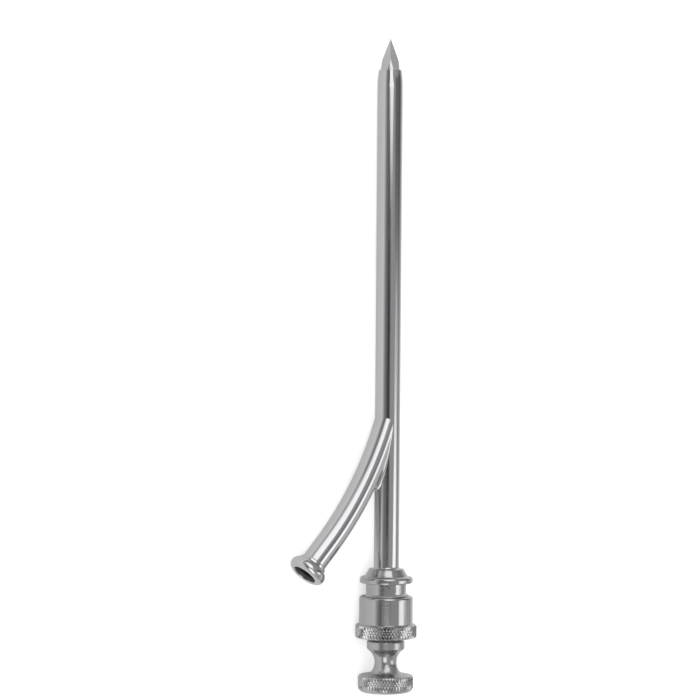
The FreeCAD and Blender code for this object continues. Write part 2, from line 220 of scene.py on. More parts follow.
class TrocarView(bpy.types.PropertyGroup):
    """Camera of the photograph, told from the instrument."""

    roll: angle_value("Roll", "Angle from the side arm's plane to the camera", 56.0)
    lean: angle_value("Lean", "Lean of the instrument's top to the right", 0.47)
    distance: size_value("Distance", "From the camera to the instrument's axis", 780.0)
    below_tip: size_value("Below tip", "From the tip back to the picture's middle row", 98.66)
    beside_axis: size_value("Beside axis", "From the picture's middle to the axis, to the right", 12.05)
    lens: FloatProperty(name="Lens", description="Focal length", default=126.86, unit="CAMERA")


class TrocarStudio(bpy.types.PropertyGroup):
    """Light levels and sizes of the studio."""

    floor_size: size_value("Floor size", "Side of the white table", 12000.0)
    floor: colour_value("Floor", "White table", "#EFEFEE")
    floor_glow: share_value("Floor glow", "White that the camera sees in the table", 0.50)
    glow_in_metal: share_value("Glow in metal", "Share of the glow that metal shows", 0.10)
    lamp_size: size_value("Lamp size", "Side of the overhead lamp", 1400.0)
    lamp_height: size_value("Lamp height", "Height of the overhead lamp", 1500.0)
    lamp_reach: share_value("Lamp reach", "How far in front the lamp stands, as a share of its height", 0.84)
    lamp_power: FloatProperty(
        name="Lamp power", description="Power of the overhead lamp", default=11.0, min=0, unit="POWER"
    )
    card_light: share_value("Card light", "Share of full light on the cards and the lit walls", 1.0)


# ---- Small tools -------------------------------------------------------------------------------


def add_node(tree, kind, settings=None, **sockets):
    """Adds a node. Settings are its own options, and sockets get values or links from other nodes."""
    node = tree.nodes.new(kind)
    for name, value in (settings or {}).items():
        setattr(node, name, value)
    for name, value in sockets.items():
        place = int(name[1:]) if name[0] == "i" and name[1:].isdigit() else name.replace("_", " ")
        socket = node.inputs[place]
        if isinstance(value, bpy.types.NodeSocket):
            tree.links.new(value, socket)
        else:
            socket.default_value = value
    return node


def add_math(tree, operation, first, second=0.0, clamp=False):
    """Result of one sum on two values or links."""
    settings = {"operation": operation, "use_clamp": clamp}
    return add_node(tree, "ShaderNodeMath", settings, i0=first, i1=second).outputs[0]


def add_step(tree, value, low, high):
    """Smooth rise from 0 to 1 between two values."""
    node = add_node(
        tree, "ShaderNodeMapRange", {"interpolation_type": "SMOOTHSTEP"},
        i0=value, i1=low, i2=high, i3=0.0, i4=1.0,
    )
    return node.outputs[0]


def new_tree(name, sizes):
    """Empty tree of geometry nodes with named inputs for its sizes."""
    tree = bpy.data.node_groups.new(name, "GeometryNodeTree")
    for label, kind in sizes:
        tree.interface.new_socket(label, in_out="INPUT", socket_type=kind)
    tree.interface.new_socket("Geometry", in_out="OUTPUT", socket_type="NodeSocketGeometry")
    return tree


def mesh_from_tree(tree, sizes):
    """Plain mesh that a tree makes from its named sizes."""
    carrier = bpy.data.objects.new(tree.name, bpy.data.meshes.new(tree.name))
    bpy.context.scene.collection.objects.link(carrier)
    modifier = carrier.modifiers.new(tree.name, "NODES")
    modifier.node_group = tree
    for item in tree.interface.items_tree:
        if item.in_out == "INPUT":
            modifier[item.identifier] = sizes[item.name]
    evaluated = carrier.evaluated_get(bpy.context.evaluated_depsgraph_get())
    mesh = bpy.data.meshes.new_from_object(evaluated)
    carrier.modifiers.clear()
    bpy.data.objects.remove(carrier)
    return mesh


def arc_points(centre, radius, start, end, steps):
    """Points on an arc of a lathe outline. 0 degrees is outward and 90 degrees towards the point."""
    points = []
    for step in range(steps + 1):
        angle = math.radians(start + (end - start) * step / steps)
        points.append((centre[0] + radius * math.cos(angle), centre[1] + radius * math.sin(angle)))
    return points


def hold_flats(outline):
    """Outline with a point close to both ends of each long straight, which keeps smooth shading off it."""
    held = [outline[0]]
    for near, far in zip(outline, outline[1:]):
        length = math.dist(near, far)
        if length > flat_length:
            for share in (flat_hold / length, 1 - flat_hold / length):
                held.append(tuple(n + (f - n) * share for n, f in zip(near, far)))
        held.append(far)
    return held


def turn_outline(form, outline, segments):
    """Adds the surface of an outline of radius and station, turned round the lathe's axis."""
    rings = []
    for radius, station in hold_flats(outline):
        count = 1 if radius < 1e-7 else segments
        turns = [2 * math.pi * number / segments for number in range(count)]
        ring = [form.verts.new((radius * math.cos(a), radius * math.sin(a), station)) for a in turns]
        rings.append(ring)
    for near, far in zip(rings, rings[1:]):
        for number in range(segments):
            after = (number + 1) % segments
            corners = [near[number % len(near)], near[after % len(near)]]
            corners += [far[after % len(far)], far[number % len(far)]]
            corners = list(dict.fromkeys(corners))
            if len(corners) > 2:
                form.faces.new(corners)


def finished_piece(name, form, finishes, body):
    """Makes a piece of a lathe form, lays it on the instrument's axis and lets it ride on its body."""
    bmesh.ops.remove_doubles(form, verts=form.verts, dist=same_point)
    bmesh.ops.recalc_face_normals(form, faces=form.faces)
    mesh = bpy.data.meshes.new(name)
    form.to_mesh(mesh)
    form.free()
    mesh.transform(lathe_frame)
    mesh.materials.clear()
    for finish in finishes:
        mesh.materials.append(finish)
    mesh.shade_smooth()
    mesh.set_sharp_from_angle(angle=sharp_corner)
    piece = bpy.data.objects.new(name, mesh)
    bpy.context.scene.collection.objects.link(piece)
    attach(piece, body)
    return piece


# ---- Finishes ----------------------------------------------------------------------------------


def add_bore(tree, place, radius, depth):
    """1 inside a bore from the side arm's end, down to its depth, and 0 outside."""
    inward = add_node(
        tree, "ShaderNodeMapping", {"vector_type": "TEXTURE"},
        Vector=place, Location=bead_frame.to_translation(), Rotation=bead_frame.to_euler(),
    ).outputs[0]
    part = add_node(tree, "ShaderNodeSeparateXYZ", Vector=inward).outputs
    across = add_node(tree, "ShaderNodeCombineXYZ", X=part["X"], Y=part["Y"]).outputs[0]
    reach = add_node(tree, "ShaderNodeVectorMath", {"operation": "LENGTH"}, i0=across).outputs["Value"]
    inside = add_math(tree, "LESS_THAN", reach, radius)
    return add_math(tree, "MULTIPLY", inside, add_math(tree, "GREATER_THAN", part["Z"], -depth))


def metal_finish(name, colour, roughness, grain, relief, mottle=0.0, bore=None, shade=None, ground=None):
    """Bare metal with polishing marks as long and wide as grain says, in metres, along the lathe's axes.

    The marks change the roughness a little and tilt the surface by a few micrometres of relief, so
    that a long reflection keeps straight edges but isn't perfectly even. Mottle is the height of the
    wear spots, in metres. Bore is the radius within which the side arm's inside is painted darker with
    the shade colour, as painted shade of the bore, and ground the roughness of faces that lean on the
    lathe's axis.
    """
    finish = bpy.data.materials.new(name)
    finish.use_nodes = True
    tree = finish.node_tree
    tree.nodes.clear()
    place = add_node(tree, "ShaderNodeTexCoord").outputs["Object"]
    marks = add_node(
        tree, "ShaderNodeMapping", {"vector_type": "TEXTURE"},
        Vector=place, Location=lathe_frame.to_translation(), Rotation=lathe_frame.to_euler(), Scale=grain,
    ).outputs[0]
    streaks = add_node(tree, "ShaderNodeTexNoise", Vector=marks, Scale=1.0, Detail=3.0).outputs[0]
    # Duller and brighter places about 11 mm wide, from handling
    clouds = add_node(tree, "ShaderNodeTexNoise", Vector=place, Scale=90.0, Detail=2.0).outputs[0]
    mixed = add_math(tree, "ADD", streaks, add_math(tree, "MULTIPLY", clouds, 0.6))
    polish = add_node(
        tree, "ShaderNodeMapRange", i0=mixed, i1=0.5, i2=1.1, i3=roughness * 0.75, i4=roughness * 1.35
    ).outputs[0]
    bump = add_node(tree, "ShaderNodeBump", Strength=1.0, Distance=relief, Height=streaks).outputs[0]
    if mottle:
        # Wear spots about 0.7 mm wide, drawn coarser than real ones so that they show
        spots = add_node(tree, "ShaderNodeTexNoise", Vector=place, Scale=1400.0, Detail=2.0).outputs[0]
        bump = add_node(
            tree, "ShaderNodeBump", Strength=1.0, Distance=mottle, Height=spots, Normal=bump
        ).outputs[0]
    shown = (*colour, 1)
    if ground:
        facing = add_node(tree, "ShaderNodeNewGeometry").outputs["True Normal"]
        lean = add_node(
            tree, "ShaderNodeVectorMath", {"operation": "DOT_PRODUCT"}, i0=facing, i1=tuple(towards_point)
        ).outputs["Value"]
        leaning = add_math(tree, "GREATER_THAN", add_math(tree, "ABSOLUTE", lean), facet_lean)
        polish = add_math(tree, "ADD", polish, add_math(tree, "MULTIPLY", leaning, ground - roughness))
    # Painted shade: inside the bore the colour turns to the shade colour and the surface grows rougher
    if bore:
        inside = add_bore(tree, place, bore, bore_shade_depth)
        shown = add_node(
            tree, "ShaderNodeMix", {"data_type": "RGBA"}, Factor=inside, i6=(*colour, 1), i7=(*shade, 1)
        ).outputs[2]
        polish = add_math(tree, "ADD", polish, add_math(tree, "MULTIPLY", inside, bore_inside_roughness))
    shader = add_node(
        tree, "ShaderNodeBsdfPrincipled", Base_Color=shown, Metallic=1.0, Roughness=polish, Normal=bump
    ).outputs[0]
    add_node(tree, "ShaderNodeOutputMaterial", Surface=shader)
    return finish


def packing_finish(colour):
    """Pressed fluoropolymer: white, soft sheen, faintly mottled."""
    finish = bpy.data.materials.new("fluoropolymer_packing")
    finish.use_nodes = True
    tree = finish.node_tree
    tree.nodes.clear()
    place = add_node(tree, "ShaderNodeTexCoord").outputs["Object"]
    # Marks of the press about 1.2 mm wide
    mottle = add_node(tree, "ShaderNodeTexNoise", Vector=place, Scale=800.0, Detail=3.0).outputs[0]
    bump = add_node(tree, "ShaderNodeBump", Strength=0.5, Distance=0.00003, Height=mottle).outputs[0]
    shader = add_node(
        tree, "ShaderNodeBsdfPrincipled", Base_Color=(*colour, 1), Roughness=0.45, Normal=bump
    ).outputs[0]
    add_node(tree, "ShaderNodeOutputMaterial", Surface=shader)
    return finish


def wear(finish, *nodes):
    """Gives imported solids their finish."""
    for node in nodes:
        solid = frame["nodes"][node]
        if not solid.material_slots:
            solid.data.materials.append(finish)
        for place in solid.material_slots:
            place.material = finish


class TROCAR_OT_tubes(bpy.types.Operator):
    """Finish the cannula, the side arm, its bead and the braze between them"""

    bl_idname = "trocar.tubes"
    bl_label = "Finish tubes"

    def execute(self, context):
        finishes = context.scene.trocar_finishes
        # Drawn stainless tube, polished lengthwise: bands of reflection with sharp, straight edges
        drawn = metal_finish(
            "polished_drawn_tube", finishes.steel, finishes.tube_polish, (0.0004, 0.0004, 0.03), 4e-7
        )
        # The bent arm is buffed by hand on a soft wheel, which leaves marks about as long as wide. The
        # wheel doesn't reach inside it, which is rougher there; the inside is also painted darker, as
        # painted shade of the bore
        buffed = metal_finish(
            "buffed_bent_tube", finishes.steel, finishes.tube_polish, (0.003, 0.003, 0.003), 2e-6,
            bore=arm_shade_radius, shade=finishes.bore_shade,
        )
        bead = metal_finish(
            "buffed_bead", finishes.steel, finishes.tube_polish, (0.0025, 0.0025, 0.0025), 3e-6,
            bore=bead_shade_radius, shade=finishes.bore_shade,
        )
        # Silver braze flows out smooth and a shade warmer
        braze = metal_finish(
            "silver_braze", finishes.braze, finishes.turned_polish, (0.0006, 0.0006, 0.0006), 4e-6,
            mottle=14e-6,
        )
        wear(drawn, "cannula_tube")
        wear(buffed, "side_arm")
        wear(bead, "hose_bead")
        wear(braze, "saddle_braze", "bead_braze", "hub_braze")
        return {"FINISHED"}


class TROCAR_OT_hub(bpy.types.Operator):
    """Finish the hub, the gland follower, the seat washer and the packing"""

    bl_idname = "trocar.hub"
    bl_label = "Finish hub and packing"

    def execute(self, context):
        finishes = context.scene.trocar_finishes
        # Turned on a lathe and polished: the tool's rings run round the axis, drawn coarser than real
        # ones so that they show
        turned = metal_finish(
            "turned_steel", finishes.turned, finishes.turned_polish, (0.02, 0.02, 0.00035), 4e-6,
            mottle=12e-6,
        )
        wear(turned, "hub", "gland_follower", "seat_washer")
        packing = packing_finish(finishes.packing)
        wear(packing, "packing_ring_1", "packing_ring_2", "packing_ring_3")
        return {"FINISHED"}


class TROCAR_OT_stylet(bpy.types.Operator):
    """Finish the stylet's rod and its ground point"""

    bl_idname = "trocar.stylet"
    bl_label = "Finish stylet"

    def execute(self, context):
        finishes = context.scene.trocar_finishes
        # Polished rod, with facets ground on a fine wheel across it: satin beside the polished round
        ground = metal_finish(
            "ground_stylet", finishes.steel, finishes.tube_polish, (0.004, 0.004, 0.0003), 2e-6,
            mottle=4e-6, ground=finishes.ground_polish,
        )
        wear(ground, "stylet_rod")
        return {"FINISHED"}


# ---- Knurling ----------------------------------------------------------------------------------


def knurl_tree():
    """Tree for a band of diamond knurling round the lathe's axis.

    One column of four-sided teeth is laid out flat, wrapped on the band's root and repeated round
    the axis. The teeth of the two end rows are cut in half, and their feet run out over the edges.
    """
    tree = new_tree("Diamond knurling", [
        ("Teeth", "NodeSocketInt"),
        ("Rows", "NodeSocketInt"),
        ("Crest radius", "NodeSocketFloat"),
        ("Tooth depth", "NodeSocketFloat"),
        ("Rear station", "NodeSocketFloat"),
        ("Front station", "NodeSocketFloat"),
        ("Rear run-out", "NodeSocketFloat"),
        ("Front run-out", "NodeSocketFloat"),
        ("Finish", "NodeSocketMaterial"),
    ])
    size = add_node(tree, "NodeGroupInput").outputs
    index = add_node(tree, "GeometryNodeInputIndex").outputs[0]
    tooth = add_node(
        tree, "GeometryNodeMeshCone", {"fill_type": "NONE"},
        Vertices=4, Radius_Top=0.0, Radius_Bottom=1.0, Depth=1.0,
    ).outputs[0]
    row_count = add_math(tree, "ADD", size["Rows"], 1.0)
    shift = add_math(tree, "MODULO", index, 2.0)
    place = add_node(tree, "ShaderNodeCombineXYZ", X=shift, Y=index).outputs[0]
    row_points = add_node(tree, "GeometryNodePoints", Count=row_count, Position=place).outputs[0]
    column = add_node(tree, "GeometryNodeInstanceOnPoints", Points=row_points, Instance=tooth).outputs[0]
    column = add_node(tree, "GeometryNodeRealizeInstances", Geometry=column).outputs[0]

    position = add_node(tree, "GeometryNodeInputPosition").outputs[0]
    spot = add_node(tree, "ShaderNodeSeparateXYZ", Vector=position).outputs
    angle = add_math(tree, "MULTIPLY", spot["X"], add_math(tree, "DIVIDE", math.pi, size["Teeth"]))
    sunk = add_math(tree, "SUBTRACT", 1.0, spot["Z"])
    drop = add_math(tree, "MULTIPLY", sunk, size["Tooth depth"])
    radius = add_math(tree, "SUBTRACT", size["Crest radius"], drop)
    span = add_math(tree, "SUBTRACT", size["Front station"], size["Rear station"])
    share = add_math(tree, "DIVIDE", spot["Y"], size["Rows"], clamp=True)
    station = add_math(tree, "ADD", size["Rear station"], add_math(tree, "MULTIPLY", share, span))
    at_rear = add_math(tree, "MULTIPLY", sunk, add_math(tree, "LESS_THAN", share, 0.001))
    at_front = add_math(tree, "MULTIPLY", sunk, add_math(tree, "GREATER_THAN", share, 0.999))
    station = add_math(tree, "SUBTRACT", station, add_math(tree, "MULTIPLY", at_rear, size["Rear run-out"]))
    station = add_math(tree, "ADD", station, add_math(tree, "MULTIPLY", at_front, size["Front run-out"]))
    wrapped = add_node(
        tree, "ShaderNodeCombineXYZ",
        X=add_math(tree, "MULTIPLY", radius, add_math(tree, "COSINE", angle)),
        Y=add_math(tree, "MULTIPLY", radius, add_math(tree, "SINE", angle)),
        Z=station,
    ).outputs[0]
    column = add_node(tree, "GeometryNodeSetPosition", Geometry=column, Position=wrapped).outputs[0]

    full_turn = add_math(tree, "DIVIDE", 2 * math.pi, size["Teeth"])
    turn = add_node(tree, "ShaderNodeCombineXYZ", Z=add_math(tree, "MULTIPLY", index, full_turn)).outputs[0]
    column_points = add_node(tree, "GeometryNodePoints", Count=size["Teeth"]).outputs[0]
    band = add_node(
        tree, "GeometryNodeInstanceOnPoints", Points=column_points, Instance=column, Rotation=turn
    ).outputs[0]
    band = add_node(tree, "GeometryNodeRealizeInstances", Geometry=band).outputs[0]
    band = add_node(tree, "GeometryNodeMergeByDistance", Geometry=band, Distance=same_point).outputs[0]
    band = add_node(tree, "GeometryNodeSetMaterial", Geometry=band, Material=size["Finish"]).outputs[0]
    add_node(tree, "NodeGroupOutput", Geometry=band)
    return tree


def add_knurling(form, finish, teeth, rows, crest, depth, rear, front, rear_run_out, front_run_out):
    """Adds a knurled band to a lathe form between two stations."""
    mesh = mesh_from_tree(bpy.data.node_groups.get("Diamond knurling") or knurl_tree(), {
        "Teeth": teeth,
        "Rows": rows,
        "Crest radius": crest,
        "Tooth depth": depth,
        "Rear station": rear,
        "Front station": front,
        "Rear run-out": rear_run_out,
        "Front run-out": front_run_out,
        "Finish": finish,
    })
    turned_faces = len(form.faces)
    form.from_mesh(mesh)
    bpy.data.meshes.remove(mesh)
    form.faces.ensure_lookup_table()
    for face in form.faces[turned_faces:]:
        face.material_index = 1


def rolled_finish(name, colour, roughness):
    """Knurling as the roll left it, buffed lightly after, so duller than what the lathe cut."""
    return metal_finish(name, colour, roughness, (0.0008, 0.0008, 0.0008), 4e-6)


class TROCAR_OT_gland_nut(bpy.types.Operator):
    """Turn the gland nut with its knurled rim"""

    bl_idname = "trocar.gland_nut"
    bl_label = "Gland nut"

    def execute(self, context):
        size = context.scene.trocar_nut
        finishes = context.scene.trocar_finishes
        depth = size.knurl_depth
        finish = metal_finish(
            "polished_nut", finishes.turned, finishes.tube_polish, (0.02, 0.02, 0.0004), 2e-6, mottle=3e-6
        )
        rolled = rolled_finish("rolled_knurling", finishes.knurl, finishes.knurl_polish)
        boss_rear, front = node_ends("gland_nut")
        rim_rear = boss_rear + size.boss_height
        rim_front = rim_rear + size.rim_width
        seat = rim_rear + size.end_wall
        barrel = size.barrel_diameter / 2
        bore = size.bore_diameter / 2
        boss = size.boss_diameter / 2
        hole = size.hole_diameter / 2
        rim = size.rim_diameter / 2
        edge_centre = (barrel - size.barrel_edge, front - size.barrel_edge)
        root_centre = (barrel + size.rim_root, rim_front + size.rim_root)
        foot = size.rim_bevel - depth
        outline = [
            (rim - depth, rim_rear + foot),
            (rim - size.rim_bevel, rim_rear),
            (boss, rim_rear),
            (boss, boss_rear + size.boss_edge),
            (boss - size.boss_edge, boss_rear),
            (hole, boss_rear),
            (hole, seat),
            (bore, seat),
            (bore, front - size.bore_chamfer),
            (bore + size.bore_chamfer, front),
            *arc_points(edge_centre, size.barrel_edge, 90, 0, 8),
            *arc_points(root_centre, size.rim_root, 180, 270, 6),
            (rim - size.rim_bevel, rim_front),
            (rim - depth, rim_front - foot),
        ]
        form = bmesh.new()
        turn_outline(form, outline, size.knurl_teeth * 2)
        add_knurling(
            form, rolled, size.knurl_teeth, size.knurl_rows, rim, depth,
            rim_rear + size.rim_bevel, rim_front - size.rim_bevel, depth, depth,
        )
        nut = finished_piece("knurled_gland_nut", form, (finish, rolled), "nut")
        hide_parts("gland_nut")
        return {"FINISHED"}


class TROCAR_OT_knob(bpy.types.Operator):
    """Turn the stylet's knob with its knurled wheel"""

    bl_idname = "trocar.knob"
    bl_label = "Stylet knob"

    def execute(self, context):
        size = context.scene.trocar_knob
        finishes = context.scene.trocar_finishes
        depth = size.knurl_depth
        # Same bar as the nut, handled more, so a little duller
        finish = metal_finish(
            "handled_knob", finishes.turned, finishes.knob_polish, (0.02, 0.02, 0.0004), 3e-6, mottle=6e-6
        )
        rolled = rolled_finish("worn_knurling", finishes.knurl, finishes.wheel_polish)
        rear, front = node_ends("stylet_knob")
        collar = size.collar_diameter / 2
        wheel = size.wheel_diameter / 2
        rod = size.rod_diameter / 2
        tail = size.tail_diameter / 2
        collar_rear = front - size.collar_length
        waist_front = collar_rear - size.bevel_length
        waist_rear = waist_front - size.waist_length
        waist_centre = (size.waist_diameter / 2 + size.waist_curve, (waist_front + waist_rear) / 2)
        waist_swing = math.degrees(math.asin(size.waist_length / 2 / size.waist_curve))
        waist_end = waist_centre[0] - size.waist_curve * math.cos(math.radians(waist_swing))
        bevel_place = ((collar + waist_end) / 2, collar_rear - size.bevel_length * size.bevel_share)
        collar_centre = (collar - size.collar_edge, front - size.collar_edge)
        face_end = waist_rear - size.wheel_face_slope * (wheel - size.wheel_front - collar)
        front_centre = (wheel - size.wheel_front, face_end - size.wheel_front)
        rear_centre = (wheel - size.wheel_rear, rear + size.wheel_rear)
        front_foot = math.degrees(math.acos(1 - depth / size.wheel_front))
        rear_foot = math.degrees(math.acos(1 - depth / size.wheel_rear))
        tail_seat = front - size.tail_seat
        outline = [
            *arc_points(rear_centre, size.wheel_rear, -rear_foot, -90, 8),
            (0, rear),
        ]
        front_outline = [
            (0, tail_seat - size.tail_length),
            (tail, tail_seat - size.tail_length),
            (tail, tail_seat),
            (rod, tail_seat),
            (rod, front),
            *arc_points(collar_centre, size.collar_edge, 90, 0, 6),
            (collar, collar_rear),
            bevel_place,
            *arc_points(waist_centre, size.waist_curve, 180 - waist_swing, 180 + waist_swing, 32),
            *arc_points(front_centre, size.wheel_front, 90, front_foot, 5),
        ]
        form = bmesh.new()
        turn_outline(form, outline, size.knurl_teeth * 2)
        turn_outline(form, front_outline, size.knurl_teeth * 2)
        add_knurling(
            form, rolled, size.knurl_teeth, size.knurl_rows, wheel, depth,
            rear_centre[1], front_centre[1],
            size.wheel_rear * math.sin(math.radians(rear_foot)),
            size.wheel_front * math.sin(math.radians(front_foot)),
        )
        knob = finished_piece("knurled_stylet_knob", form, (finish, rolled), "stylet")
        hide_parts("stylet_knob")
        return {"FINISHED"}


# ---- Gland thread ------------------------------------------------------------------------------


def thread_tree():
    """Tree for the ridge of a screw thread that winds forward round the lathe's axis.

    A long flat strip, four points wide, is wound into a helix. The middle points are the crest and
    the outer ones the feet, and the crest sinks to the core over the run-out at both ends.
    """
    tree = new_tree("Thread ridge", [
        ("Core radius", "NodeSocketFloat"),
        ("Crest radius", "NodeSocketFloat"),
        ("Rear station", "NodeSocketFloat"),
        ("Pitch", "NodeSocketFloat"),
        ("Turns", "NodeSocketFloat"),
        ("Run-out", "NodeSocketFloat"),
        ("Steps", "NodeSocketInt"),
        ("Finish", "NodeSocketMaterial"),
    ])
    size = add_node(tree, "NodeGroupInput").outputs
    strip = add_node(
        tree, "GeometryNodeMeshGrid", Size_X=1.0, Size_Y=1.0, Vertices_X=4, Vertices_Y=size["Steps"]
    ).outputs[0]
    position = add_node(tree, "GeometryNodeInputPosition").outputs[0]
    spot = add_node(tree, "ShaderNodeSeparateXYZ", Vector=position).outputs
    turned = add_math(tree, "MULTIPLY", add_math(tree, "ADD", spot["Y"], 0.5), size["Turns"])
    left = add_math(tree, "SUBTRACT", size["Turns"], turned)
    near_end = add_math(tree, "MINIMUM", turned, left)
    rise = add_math(tree, "DIVIDE", near_end, size["Run-out"], clamp=True)
    side = add_math(tree, "ABSOLUTE", spot["X"])
    # The foot is 0.44 of the pitch from the crest's middle and the crest's edge 0.07, on 60-degree flanks
    half_width = add_node(
        tree, "ShaderNodeMapRange", i0=side, i1=1 / 6, i2=0.5, i3=0.07, i4=0.44
    ).outputs[0]
    offset = add_math(tree, "MULTIPLY", half_width, add_math(tree, "SIGN", spot["X"]))
    winding = add_math(tree, "ADD", turned, offset)
    travel = add_math(tree, "MULTIPLY", winding, size["Pitch"])
    station = add_math(tree, "ADD", size["Rear station"], travel)
    on_crest = add_math(tree, "LESS_THAN", side, 0.3)
    lift = add_math(tree, "MULTIPLY", on_crest, rise)
    depth = add_math(tree, "SUBTRACT", size["Crest radius"], size["Core radius"])
    radius = add_math(tree, "ADD", size["Core radius"], add_math(tree, "MULTIPLY", lift, depth))
    angle = add_math(tree, "MULTIPLY", turned, 2 * math.pi)
    wound = add_node(
        tree, "ShaderNodeCombineXYZ",
        X=add_math(tree, "MULTIPLY", radius, add_math(tree, "COSINE", angle)),
        Y=add_math(tree, "MULTIPLY", radius, add_math(tree, "SINE", angle)),
        Z=station,
    ).outputs[0]
    ridge = add_node(tree, "GeometryNodeSetPosition", Geometry=strip, Position=wound).outputs[0]
    ridge = add_node(tree, "GeometryNodeRealizeInstances", Geometry=ridge).outputs[0]
    ridge = add_node(tree, "GeometryNodeSetMaterial", Geometry=ridge, Material=size["Finish"]).outputs[0]
    add_node(tree, "NodeGroupOutput", Geometry=ridge)
    return tree


class TROCAR_OT_thread(bpy.types.Operator):
    """Cut the gland thread round the hub"""

    bl_idname = "trocar.thread"
    bl_label = "Gland thread"

    def execute(self, context):
        size = context.scene.trocar_thread
        hub_rear, _ = node_ends("hub")
        turns = size.thread_length / size.pitch - 1
        finish = bpy.data.materials["turned_steel"]
        form = bmesh.new()
        mesh = mesh_from_tree(thread_tree(), {
            "Core radius": size.core_diameter / 2 - 0.00001,
            "Crest radius": size.crest_diameter / 2,
            "Rear station": hub_rear + size.pitch / 2,
            "Pitch": size.pitch,
            "Turns": turns,
            "Run-out": size.run_out,
            "Steps": int(turns * 72),
            "Finish": finish,
        })
        form.from_mesh(mesh)
        bpy.data.meshes.remove(mesh)
        finished_piece("gland_thread", form, (finish,), "cannula")
        return {"FINISHED"}


# ---- Studio ------------------------------------------------------------------------------------


def make_table(studio):
    """White table. Camera and metal also see its glow, while lamps alone light its face and shadow."""
    finish = bpy.data.materials.new("white_laminate_table")
    finish.use_nodes = True
    tree = finish.node_tree
    tree.nodes.clear()
    face = add_node(tree, "ShaderNodeBsdfDiffuse", Color=(*studio.floor, 1)).outputs[0]
    path = add_node(tree, "ShaderNodeLightPath").outputs
    in_metal = add_math(tree, "MULTIPLY", path["Is Glossy Ray"], studio.glow_in_metal)
    seen = add_math(tree, "MAXIMUM", path["Is Camera Ray"], in_metal)
    seen = add_math(tree, "MAXIMUM", seen, path["Is Transmission Ray"])
    strength = add_math(tree, "MULTIPLY", seen, studio.floor_glow)
    glow = add_node(tree, "ShaderNodeEmission", Color=(1, 1, 1, 1), Strength=strength).outputs[0]
    total = add_node(tree, "ShaderNodeAddShader", i0=face, i1=glow).outputs[0]
    add_node(tree, "ShaderNodeOutputMaterial", Surface=total)
    form = bmesh.new()
    bmesh.ops.create_grid(form, x_segments=1, y_segments=1, size=studio.floor_size / 2)
    mesh = bpy.data.meshes.new("table")
    form.to_mesh(mesh)
    form.free()
    mesh.transform(Matrix.Translation((0, 0, solid_box[0].z - table_gap)))
    mesh.materials.append(finish)
    table = bpy.data.objects.new("table", mesh)
    bpy.context.scene.collection.objects.link(table)


# Brightness of the room round the instrument's axis: angle in degrees from the far side up over the
# top and down to the near side, and brightness there. The dark part is the unlit room behind the camera
room_bands = (
    (0, 0.50), (18, 0.46), (24, 0.31), (34, 0.30), (44, 0.39), (64, 0.44), (105, 0.42), (112, 0.28),
    (117, 0.07), (131, 0.05), (136, 0.13), (141, 0.19), (150, 0.22), (157, 0.28), (163, 0.44), (170, 0.60),
    (175, 0.74), (180, 0.82),
)

# Patches of the room. Each starts at one part of a direction along the axis (-1 past the point, 1 past
# the knob), is widest from the second on and ends at the third. It covers the first arc of angles round
# the axis where it starts and the second arc where it is widest, with edges that many degrees soft
dark_patches = (
    # Unlit corner over the point's end, with the share of brightness that is left there
    ((-0.035, -0.095, -0.26), (26, 74), (18, 80), 12, 0.42),
    # Backdrop on the near side behind the hub
    ((0.0975, 0.100, 1.20), (153, 173), (153, 173), 3, 0.62),
)
lit_patches = (
    # Ceiling behind the hub, brighter over the middle
    ((0.0990, 0.101, 1.20), (60, 152), (60, 152), 20, 0.50),
    ((0.0990, 0.101, 1.20), (113, 140), (113, 140), 14, 0.80),
    # Window high up on the camera's side
    ((0.25, 0.36, 0.95), (120, 150), (120, 156), 10, 1.90),
    # Near end of the ceiling, beyond the side arm's bead
    ((-0.62, -0.74, -1.20), (144, 170), (144, 170), 8, 0.55),
    # Card over the point's end, and its narrow end
    ((-0.070, -0.125, -0.170), (110, 119), (95, 139), 4, 1.60),
    ((-0.110, -0.300, -0.50), (98, 134), (105, 134), 6, 1.55),
    # Card far past the point, which the bent arm sees; it fades towards the near side
    ((-0.26, -0.48, -0.92), (112, 120), (84, 124), 12, 1.60),
    ((-0.26, -0.75, -0.95), (112, 131), (102, 147), 36, 1.60),
    # Card beyond the knob's end, and the glow on the wall where it starts
    ((-0.030, 0.000, 0.42), (40, 66), (30, 71), 10, 0.75),
    ((0.010, 0.065, 0.097), (55, 57), (36, 70), 5, 1.68),
    # Its narrower part behind the hub, and the glow on the wall below that
    ((0.086, 0.088, 0.42), (48, 74), (48, 74), 5, 1.74),
    ((0.095, 0.099, 1.20), (8, 50), (8, 50), 6, 0.66),
)


def add_patch(tree, along, degrees, stations, first_arc, widest_arc, soft):
    """1 inside a patch of the room and 0 outside it."""
    start, widest, end = stations
    past_start = add_step(tree, along, start, start + (widest - start) * 0.2)
    growth = add_math(tree, "DIVIDE", add_math(tree, "SUBTRACT", along, start), widest - start, clamp=True)
    before_end = add_step(tree, along, end, end + (widest - end) * 0.25)
    inside = add_math(tree, "MULTIPLY", past_start, before_end)
    for first, last, side in zip(first_arc, widest_arc, (1, -1)):
        edge = add_math(tree, "ADD", first, add_math(tree, "MULTIPLY", growth, last - first))
        reach = add_math(tree, "MULTIPLY", add_math(tree, "SUBTRACT", degrees, edge), side)
        inside = add_math(tree, "MULTIPLY", inside, add_step(tree, reach, -soft / 2, soft / 2))
    return inside


